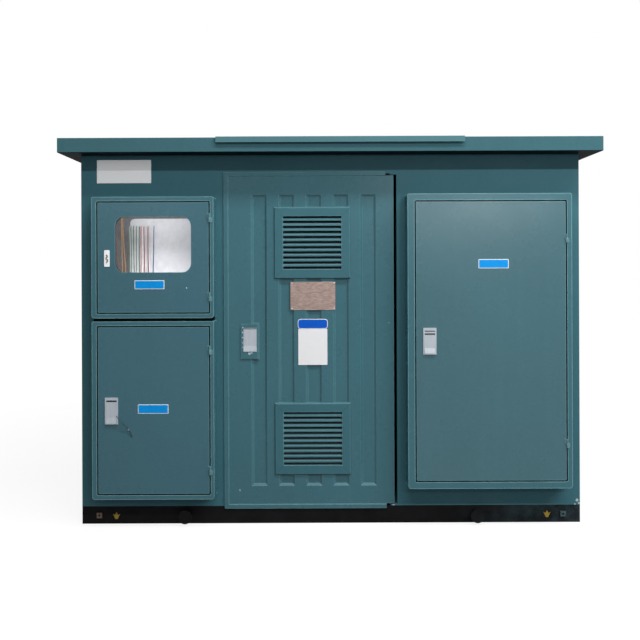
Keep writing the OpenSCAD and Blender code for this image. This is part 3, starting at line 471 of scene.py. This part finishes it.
def labels():
    """The labels of the three cabinet doors."""
    door_label("meter_label", METER, -1.194, -1.012, 1.466, 1.520)
    door_label("communication_label", COMMUNICATION, -1.176, -0.990, 0.708, 0.765)
    door_label("automation_label", AUTOMATION, 0.900, 1.084, 1.585, 1.641)


def wall_plate():
    """Light metal plate under the eave, left bare."""
    plate("wall_plate", ENCLOSURE, -1.453, -1.115, 2.124, 2.269, WALL_FACE, 0.002, 0.002,
          PLATE_WHITE)


def rivet(name, body, x, y, z, radius, material):
    """A flattened rivet head."""
    bm = bmesh.new()
    bmesh.ops.create_uvsphere(bm, u_segments=16, v_segments=10, radius=radius)
    for vert in bm.verts:
        vert.co.y *= 0.5
    bmesh.ops.translate(bm, verts=bm.verts, vec=(x, y, z))
    obj = new_object(name, bm, material, body)
    for face in obj.data.polygons:
        face.use_smooth = True
    return obj


def rating_plate():
    """Brushed plate with a rivet in each corner, left bare."""
    x0, x1, z0, z1 = -0.249, 0.031, 1.329, 1.505
    plate("rating_plate", TRANSFORMER, x0, x1, z0, z1, PANEL_FACE, 0.002, 0.003, PLATE_METAL)
    inset = 0.009
    for i, (x, z) in enumerate(((x0 + inset, z0 + inset), (x1 - inset, z0 + inset),
                                (x0 + inset, z1 - inset), (x1 - inset, z1 - inset))):
        rivet(f"rating_rivet_{i}", TRANSFORMER, x, PANEL_FACE - 0.002, z, 0.005, LOCK_STEEL)


def sign():
    """Blank two-part sign: a blue header with a pale rim over a white panel."""
    plate("sign_panel", TRANSFORMER, -0.201, -0.020, 0.9865, 1.211, PANEL_FACE, 0.0015, 0.002, WHITE)
    x0, x1, z0, z1 = -0.204, -0.017, 1.212, 1.273
    rim = 0.0035
    plate("sign_header_rim", TRANSFORMER, x0, x1, z0, z1, PANEL_FACE, 0.0018, 0.018, WHITE)
    plate("sign_header", TRANSFORMER, x0 + rim, x1 - rim, z0 + rim, z1 - rim,
          PANEL_FACE - 0.0018, 0.0005, 0.015, SIGN_BLUE, 0.0002)


def flat_shape(name, body, points, y, thickness, material):
    """A thin flat piece with the outline points (x, z); its face is at y - thickness."""
    bm = bmesh.new()
    back = [bm.verts.new((x, y, z)) for x, z in points]
    front = [bm.verts.new((x, y - thickness, z)) for x, z in points]
    bm.faces.new(back)
    bm.faces.new(list(reversed(front)))
    for i in range(len(points)):
        j = (i + 1) % len(points)
        bm.faces.new((back[i], front[i], front[j], back[j]))
    bmesh.ops.recalc_face_normals(bm, faces=bm.faces)
    return new_object(name, bm, material, body)


def earth_marks():
    """A plain three-pointed mark beside each earth boss."""
    outline = ((-8, -22), (8, -22), (13, -10), (23, 12), (12, 3), (7, 9), (0, 21), (-7, 9),
               (-12, 3), (-23, 12), (-13, -10))
    for name, x, z in (("earth_mark_left", -1.339, 0.052), ("earth_mark_right", 1.346, 0.054)):
        points = [(x + dx / 1000, z + dz / 1000) for dx, dz in outline]
        flat_shape(name, ENCLOSURE, points, WALL_FACE, 0.0006, YELLOW)


def tube(name, points, radius, material, body):
    """A smooth round wire or rod through the points."""
    curve = bpy.data.curves.new(name, "CURVE")
    curve.dimensions = "3D"
    curve.bevel_depth = radius
    curve.bevel_resolution = 3
    curve.use_fill_caps = True
    spline = curve.splines.new("BEZIER")
    spline.bezier_points.add(len(points) - 1)
    for bezier, point in zip(spline.bezier_points, points):
        bezier.co = point
        bezier.handle_left_type = "AUTO"
        bezier.handle_right_type = "AUTO"
    obj = bpy.data.objects.new(name, curve)
    bpy.context.scene.collection.objects.link(obj)
    curve.materials.append(material)
    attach(obj, body)
    return obj


def lock_tie():
    """A thin dark tie from the communication lock's flap; its end leans on the leaf."""
    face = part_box("communication_door_lock")[0].y
    radius = 0.0018
    points = ((-1.3045, face + 0.004, 0.6965), (-1.298, face - 0.003, 0.688),
              (-1.262, face - 0.003, 0.647), (-1.2324, CABINET_FACE - 0.007, 0.6131),
              (-1.211, CABINET_FACE - 0.002, 0.569))
    tube("lock_tie", points, radius, TIE, COMMUNICATION)
    plate("lock_tie_head", COMMUNICATION, -1.2365, -1.2285, 0.609, 0.617, CABINET_FACE - 0.004,
          0.005, 0.0015, TIE_HEAD)


def lock_pockets():
    """Linings of the two flush locks' finger pockets, the near-black one in the communication lock
    being painted shade in the pocket, and the meter lock's hooked key.
    """
    for node, body, drop, height, material in (
            ("communication_door_lock", COMMUNICATION, 0.017, 0.010, DARK),
            ("automation_door_lock", AUTOMATION, 0.017, 0.027, LINING)):
        low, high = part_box(node)
        top = high.z - drop
        margin = 0.009
        plate(node + "_pocket", body, low.x + margin, high.x - margin, top - height + 0.0002,
              top - 0.0002, CABINET_FACE + 0.0138, 0.0145, 0.0008, material, 0.0002)
    low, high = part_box("meter_door_lock")
    x, y, z = (low.x + high.x) / 2, CABINET_FACE - 0.0042, (low.z + high.z) / 2
    hook = [(x - 0.004, y, z + 0.022), (x + 0.004, y, z + 0.012), (x - 0.005, y, z + 0.001),
            (x + 0.006, y, z - 0.012), (x - 0.002, y, z - 0.026)]
    tube("meter_key", hook, 0.0026, DARK, METER)
    rivet("meter_plug", METER, -0.877, CABINET_FACE, 1.4725, 0.004, WHITE)


def channel_caps():
    """Plates welded into the open ends of the front and rear channels."""
    steel, thickness, setback = 0.006, 0.004, 0.0003
    for node in ("base_front_channel", "base_rear_channel"):
        low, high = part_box(node)
        front = low.y < 0
        y0 = low.y + steel if front else low.y
        y1 = high.y if front else high.y - steel
        for side, end, outward in (("left", low.x, -1), ("right", high.x, 1)):
            piece = plate(f"{node}_cap_{side}", ENCLOSURE, y0, y1, low.z + steel, high.z - steel,
                          0, thickness, 0.002, CHANNEL)
            # The plate is made facing -Y, then turned to face the end
            for vert in piece.data.vertices:
                across, depth, up = vert.co
                vert.co = (end - outward * (setback + thickness + depth), across, up)
            if outward < 0:
                piece.data.flip_normals()


def slot_shade_strip():
    """A black strip set back in the slot between the two left-hand frames, painted shade for the
    shadow in the slot.
    """
    low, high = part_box("meter_frame")
    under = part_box("communication_frame")[1].z
    inset, play, setback = 0.010, 0.0002, 0.006
    plate("slot_shade_strip", ENCLOSURE, low.x + inset, high.x - inset, under + play, low.z - play,
          WALL_FACE, WALL_FACE - CABINET_FACE - setback, 0.001, RUBBER_AND_SHADE_BLACK)


def mitre_seams():
    """Dark seams across the mitred corners of each front louvre's frame."""
    border_x, border_z = 0.056, 0.059
    outer = 0.14
    radius = 0.0018
    sunk = 0.0013
    for node in ("transformer_upper_louvre", "transformer_lower_louvre"):
        low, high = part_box(node)
        y = low.y + sunk
        for i, (x, z, side_x, side_z) in enumerate((
                (low.x, low.z, 1, 1), (high.x, low.z, -1, 1),
                (high.x, high.z, -1, -1), (low.x, high.z, 1, -1))):
            points = [(x + side_x * border_x * share, y, z + side_z * border_z * share)
                      for share in (outer, 0.98)]
            tube(f"{node}_seam_{i}", points, radius, SEAM, TRANSFORMER)


def seal(name, body, leaf, profile):
    """A black rubber ring round a cabinet leaf, for the rear seal and for the black strips of
    painted shade; the profile's points are (outwards, y).
    """
    # The hinge barrels stand past the leaf's right edge by half a gap and a barrel
    past_edge = 0.009
    radius = 0.006
    low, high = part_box(leaf)
    bm = bmesh.new()
    rings = []
    for out, y in profile:
        outline = rounded_outline(low.x - out, high.x - past_edge + out, low.z - out, high.z + out,
                                  radius)
        rings.append([bm.verts.new((x, y, z)) for x, z in outline])
    for ring, other in zip(rings, rings[1:] + rings[:1]):
        for i in range(len(ring)):
            j = (i + 1) % len(ring)
            bm.faces.new((ring[i], ring[j], other[j], other[i]))
    bmesh.ops.recalc_face_normals(bm, faces=bm.faces)
    new_object(name, bm, RUBBER_AND_SHADE_BLACK, body)


def strips(body):
    """A leaf's black edge strip and its frame's black lining, painted shade in the gap: name, body,
    outer and inner reach.
    """
    return (("_edge_shade", body, 0.0008, -0.0002), ("_opening_shade", ENCLOSURE, 0.0078, 0.0063))


def seals():
    """On each cabinet leaf a rear seal and a black edge strip, and a black lining in its frame's
    opening; the edge strip and the lining are painted shade in the gap round the leaf.
    """
    width, height = 0.009, 0.004
    front, back = CABINET_FACE + 0.002, CABINET_FACE + 0.020
    for leaf, body in (("meter_door_leaf", METER), ("communication_door_leaf", COMMUNICATION),
                       ("automation_door_leaf", AUTOMATION)):
        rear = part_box(leaf)[1].y
        bead = [(-0.010 - share * width, rear + out * height) for share, out in
                ((0.0, 0.0), (0.15, 0.7), (0.5, 1.0), (0.85, 0.7), (1.0, 0.0))]
        seal(leaf + "_seal", body, leaf, bead)
        # Black edge strip and opening lining: painted shade in the gap round the leaf
        for suffix, rides_on, outer, inner in strips(body):
            seal(leaf + suffix, rides_on, leaf, ((outer, front), (outer, back), (inner, back),
                                                 (inner, front)))


def wires():
    """Insulated wires from the board's top and from the tray's top down to the tray's floor."""
    low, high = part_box("meter_wires")
    board_low, board_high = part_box("meter_board")
    white = plain_material("wire_white", srgb(222, 226, 222), 0.4)
    # The pale wires are darker than the white ones: partly their own greyish-green tint, partly
    # painted shade between the white strands
    pale = plain_material("wire_pale", srgb(112, 138, 126), 0.4)
    green = plain_material("wire_green", srgb(52, 108, 72), 0.4)
    pink = plain_material("wire_pink", srgb(204, 112, 96), 0.4)
    red = plain_material("wire_red", srgb(156, 52, 66), 0.4)
    blue = plain_material("wire_blue", srgb(52, 74, 134), 0.4)
    orange = plain_material("wire_orange", srgb(222, 158, 60), 0.4)
    brown = plain_material("wire_brown", srgb(158, 88, 52), 0.4)
    # Each wire: X at its top, X at its foot, material
    run = ((-1.291, -1.286, pale), (-1.283, -1.276, white), (-1.275, -1.268, pale),
           (-1.267, -1.262, white), (-1.258, -1.254, pale), (-1.248, -1.243, white),
           (-1.239, -1.237, pale), (-1.221, -1.226, green), (-1.209, -1.209, pink),
           (-1.192, -1.184, red), (-1.176, -1.176, white), (-1.165, -1.165, red),
           (-1.150, -1.153, white), (-1.127, -1.136, blue))
    loose = ((-1.372, -1.354, brown), (-1.338, -1.327, orange), (-1.333, -1.298, orange))
    front = low.y
    wire_r = 0.0026
    random.seed(5)
    for i, (top_x, foot_x, material) in enumerate(run + loose):
        from_board = i < len(run)
        top = board_high.z - 0.047 - random.uniform(0.0, 0.008) if from_board else high.z - 0.003
        y = front + 0.004
        points = [(top_x, y, top)]
        for step in (0.3, 0.6, 0.85):
            sway = random.uniform(-0.0022, 0.0022)
            points.append((top_x + (foot_x - top_x) * step + sway, y + random.uniform(0, 0.001),
                           top + (low.z - top) * step))
        points.append((foot_x, y, low.z + 0.001))
        if from_board:
            points.insert(0, (top_x, board_low.y, top + 0.003))
        tube(f"wire_{i}", points, wire_r, material, ENCLOSURE)
    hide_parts("meter_wires")


def meter_lamps():
    """Two slim lamps behind the meter door, over and under its window, which light the board."""
    low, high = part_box("meter_door_glass")
    middle = (low.x + high.x) / 2
    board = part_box("meter_board")[0].y
    for name, z, watts in (("meter_lamp_upper", high.z + 0.035, 0.48),
                           ("meter_lamp_lower", low.z - 0.035, 0.62)):
        obj = softbox(name, (middle, -1.07, z), (middle, board, (low.z + high.z) / 2), 0.45, 0.03,
                      watts)
        obj.visible_camera = False


def camera():
    """Eye-level view square to the front, as in the photograph."""
    focal_px = 721.3
    frame_px = 640
    centre_x, centre_y = 316.3, 265.4
    roll = math.radians(0.22)
    data = bpy.data.cameras.new("camera")
    data.sensor_width = 36
    data.sensor_fit = "HORIZONTAL"
    data.lens = focal_px / frame_px * data.sensor_width
    data.shift_x = (frame_px / 2 - centre_x) / frame_px
    data.shift_y = (centre_y - frame_px / 2) / frame_px
    obj = bpy.data.objects.new("camera", data)
    bpy.context.scene.collection.objects.link(obj)
    obj.matrix_world = (Matrix.Translation((-0.087, WALL_FACE - 4.5, 1.607))
                        @ Matrix.Rotation(math.pi / 2, 4, "X") @ Matrix.Rotation(-roll, 4, "Z"))
    bpy.context.scene.camera = obj


def softbox(name, location, target, width, height, watts):
    """A rectangular lamp at location that faces target."""
    data = bpy.data.lights.new(name, "AREA")
    data.shape = "RECTANGLE"
    data.size = width
    data.size_y = height
    data.energy = watts
    obj = bpy.data.objects.new(name, data)
    bpy.context.scene.collection.objects.link(obj)
    obj.location = location
    away = Vector(location) - Vector(target)
    obj.rotation_euler = away.to_track_quat("Z", "Y").to_euler()
    return obj


def strip(name, x0, x1, y, z, height, watts):
    """A long lamp parallel to the front wall, which faces the top of the wall."""
    middle = (x0 + x1) / 2
    softbox(name, (middle, y, z), (middle, WALL_FACE, 2.0), x1 - x0, height, watts)


def lights():
    """Long strips in front of the wall, stronger to the right, and a soft rear fill."""
    strip("key_left", -1.5, 3.25, -6.05, 5.95, 0.2, 108)
    strip("key_right", 3.25, 8.0, -6.05, 5.95, 0.2, 300)
    strip("top", -1.5, 8.0, -3.25, 6.9, 0.7, 596)
    softbox("glow", (1.85, -5.7, 2.55), (1.0, CABINET_FACE, 2.0), 1.8, 0.35, 28)
    softbox("glow_left", (-2.2, -5.7, 2.6), (-1.1, CABINET_FACE, 2.0), 1.0, 0.35, 6)
    softbox("rear_fill", (-3.1, 8.0, 6.4), (0, 1.05, 1.2), 4, 4, 330)


def seen_mix(tree, ordinary, seen):
    """The ordinary shader for light, and another one for what is seen directly or by gloss."""
    path = tree.nodes.new("ShaderNodeLightPath")
    factor = path.outputs["Is Camera Ray"]
    for ray in ("Is Glossy Ray", "Is Transmission Ray"):
        either = tree.nodes.new("ShaderNodeMath")
        either.operation = "MAXIMUM"
        tree.links.new(factor, either.inputs[0])
        tree.links.new(path.outputs[ray], either.inputs[1])
        factor = either.outputs[0]
    return mix_shaders(tree, factor, ordinary, seen)


def mix_shaders(tree, factor, first, second):
    """The first shader at factor 0 and the second at factor 1."""
    mix = tree.nodes.new("ShaderNodeMixShader")
    if isinstance(factor, float):
        mix.inputs[0].default_value = factor
    else:
        tree.links.new(factor, mix.inputs[0])
    tree.links.new(first, mix.inputs[1])
    tree.links.new(second, mix.inputs[2])
    return mix.outputs[0]


def world():
    """Dim even light, and plain white where it is seen."""
    settings = bpy.data.worlds.new("studio")
    bpy.context.scene.world = settings
    settings.use_nodes = True
    tree = settings.node_tree
    ambient = tree.nodes["Background"]
    ambient.inputs["Color"].default_value = (0.95, 0.98, 1.0, 1)
    ambient.inputs["Strength"].default_value = 0.2
    white = tree.nodes.new("ShaderNodeBackground")
    white.inputs["Color"].default_value = (1, 1, 1, 1)
    white.inputs["Strength"].default_value = 1.0
    surface = seen_mix(tree, ambient.outputs[0], white.outputs[0])
    tree.links.new(surface, tree.nodes["World Output"].inputs["Surface"])


def floor():
    """White floor that keeps a soft shadow round the object."""
    bm = bmesh.new()
    bmesh.ops.create_grid(bm, x_segments=1, y_segments=1, size=40)
    mesh = bpy.data.meshes.new("floor")
    bm.to_mesh(mesh)
    bm.free()
    obj = bpy.data.objects.new("floor", mesh)
    bpy.context.scene.collection.objects.link(obj)
    material = bpy.data.materials.new("floor_white")
    material.use_nodes = True
    tree = material.node_tree
    tree.nodes.remove(tree.nodes["Principled BSDF"])
    bounce, pale = (tree.nodes.new("ShaderNodeBsdfDiffuse") for _ in range(2))
    bounce.inputs["Color"].default_value = (0.2, 0.2, 0.2, 1)
    pale.inputs["Color"].default_value = (0.95, 0.95, 0.95, 1)
    emission = tree.nodes.new("ShaderNodeEmission")
    # Mostly plain white; round the object enough of the lit surface shows to keep its shadow
    coords = tree.nodes.new("ShaderNodeTexCoord")
    length = tree.nodes.new("ShaderNodeVectorMath")
    length.operation = "LENGTH"
    tree.links.new(coords.outputs["Object"], length.inputs[0])
    share = tree.nodes.new("ShaderNodeMapRange")
    share.inputs["From Min"].default_value = 1.6
    share.inputs["From Max"].default_value = 4.5
    share.inputs["To Min"].default_value = 0.86
    share.inputs["To Max"].default_value = 1.0
    tree.links.new(length.outputs["Value"], share.inputs["Value"])
    seen = mix_shaders(tree, share.outputs["Result"], pale.outputs[0], emission.outputs[0])
    surface = seen_mix(tree, bounce.outputs[0], seen)
    tree.links.new(surface, tree.nodes["Material Output"].inputs["Surface"])
    mesh.materials.append(material)


camera()
lights()
world()
floor()
dress_nodes()
labels()
wall_plate()
rating_plate()
sign()
earth_marks()
wires()
lock_tie()
lock_pockets()
mitre_seams()
channel_caps()
slot_shade_strip()
seals()
meter_lamps()
bpy.context.scene.view_settings.view_transform = "Standard"
